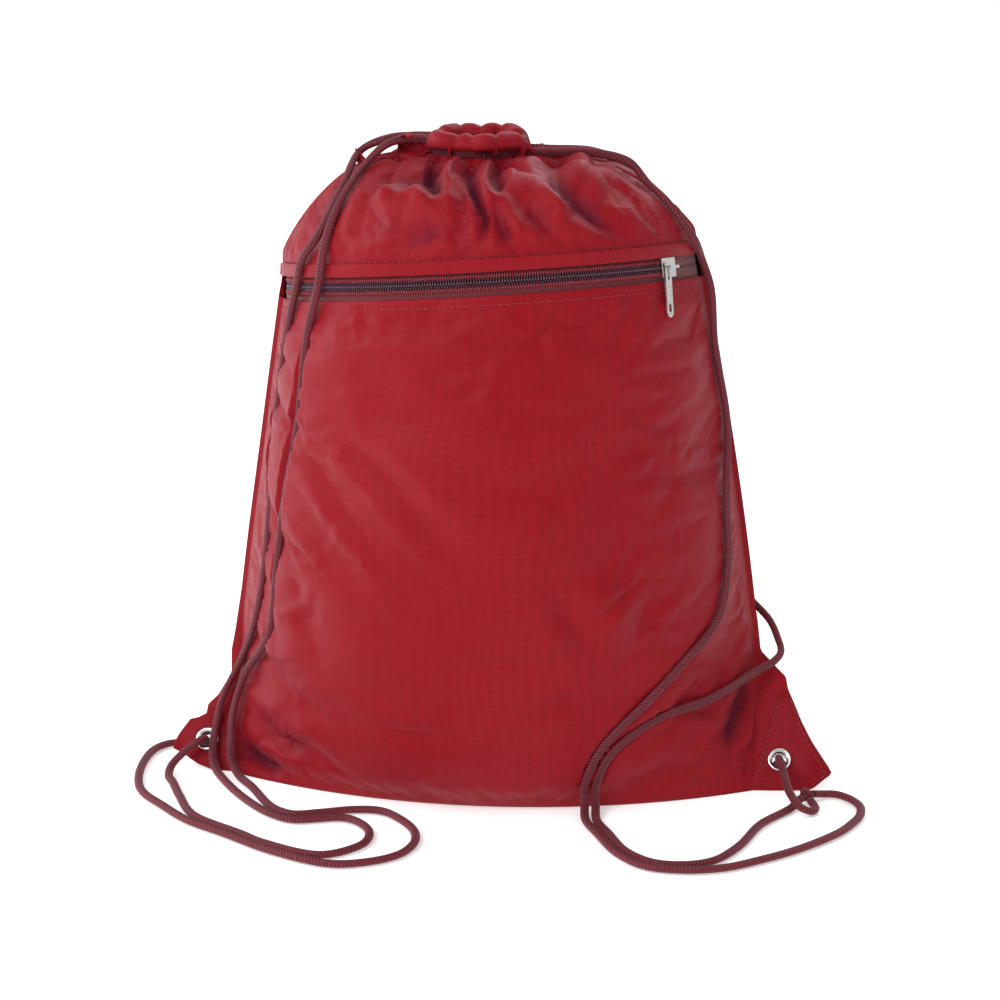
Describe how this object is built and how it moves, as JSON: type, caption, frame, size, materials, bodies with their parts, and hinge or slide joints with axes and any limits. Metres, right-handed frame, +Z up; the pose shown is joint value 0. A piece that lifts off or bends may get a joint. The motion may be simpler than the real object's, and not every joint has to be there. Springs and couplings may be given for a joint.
{
  "type": "drawstring backpack",
  "caption": "Drawstring backpack standing filled on its base, with a gathered mouth, a curved front zip pocket, braided cords and metal eyelets in the bottom corners.",
  "frame": {"origin": "on the floor, at the middle of the base's width, below the side seams", "axes": "+Z up to the gathered mouth, -Y out of the zip pocket's side, +X to the bag's right as the pocket is faced"},
  "size_m": [0.3788, 0.2689, 0.334],
  "materials": {
    "red_fabric": "satin woven polyester",
    "lining_fabric": "matt woven polyester",
    "zip_tape": "matt woven tape",
    "zip_coil": "satin nylon",
    "braided_cord": "braided",
    "nickel": "polished nickel plate"
  },
  "bodies": {
    "bag": {"back_cord_channel": "red_fabric", "back_panel": "red_fabric", "front_cord_channel": "red_fabric", "front_pocket_panel": "red_fabric", "front_upper_panel": "red_fabric", "left_cord": "braided_cord", "left_corner_patch": "red_fabric", "left_eyelet": "nickel", "left_eyelet_washer": "nickel", "left_knot": "braided_cord", "pocket_lining": "lining_fabric", "right_cord": "braided_cord", "right_cord_tail": "braided_cord", "right_corner_patch": "red_fabric", "right_eyelet": "nickel", "right_eyelet_washer": "nickel", "right_knot": "braided_cord", "right_tail_knot": "braided_cord", "zip_coil_lower": "zip_coil", "zip_coil_upper": "zip_coil", "zip_tape_lower": "zip_tape", "zip_tape_upper": "zip_tape"},
    "slider": {"zip_slider": "nickel"},
    "puller": {"zip_puller": "nickel"}
  },
  "joints": [
    {"name": "slider_travel", "type": "hinge", "parent": "bag", "child": "slider", "pos_m": [-0.00317, 0.0262, 0.25666], "axis": [-0.0758, 0.1572, 0.9847], "range_deg": [-86, 0]},
    {"name": "puller_swing", "type": "hinge", "parent": "slider", "child": "puller", "pos_m": [0.08907, -0.03666, 0.27397], "axis": [0.8223, -0.5256, 0.218], "range_deg": [-60, 25]}
  ]
}
